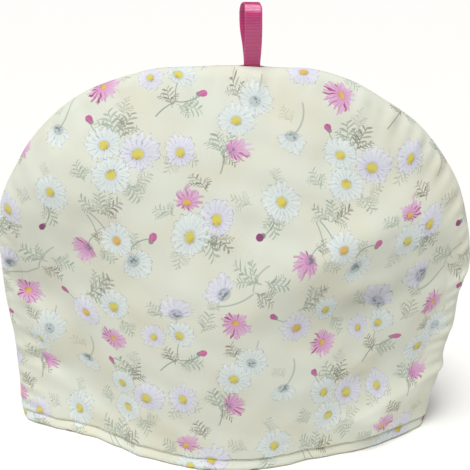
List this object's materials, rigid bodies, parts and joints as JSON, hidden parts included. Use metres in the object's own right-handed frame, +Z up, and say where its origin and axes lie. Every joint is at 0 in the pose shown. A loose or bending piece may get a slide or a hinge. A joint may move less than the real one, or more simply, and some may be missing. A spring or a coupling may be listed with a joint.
{
  "type": "tea cosy",
  "caption": "Padded printed-cotton tea cosy with a domed front and back sewn along one seam, an open hem to stand on and a ribbon loop at the top.",
  "frame": {"origin": "on the surface that the hem stands on, under the middle of the cosy's width and depth", "axes": "+Z up, -Y out of the front panel, +X to the right as seen from the front, along the opening's long side"},
  "size_m": [0.3163, 0.1156, 0.3042],
  "materials": {
    "printed_cotton": "plain-woven cream cotton printed with small flowers, over soft wadding",
    "ribbon": "raspberry grosgrain ribbon with fine cross ribs"
  },
  "bodies": {
    "root": {"front_panel": "printed_cotton", "back_panel": "printed_cotton", "ribbon_loop": "ribbon"}
  },
  "joints": []
}
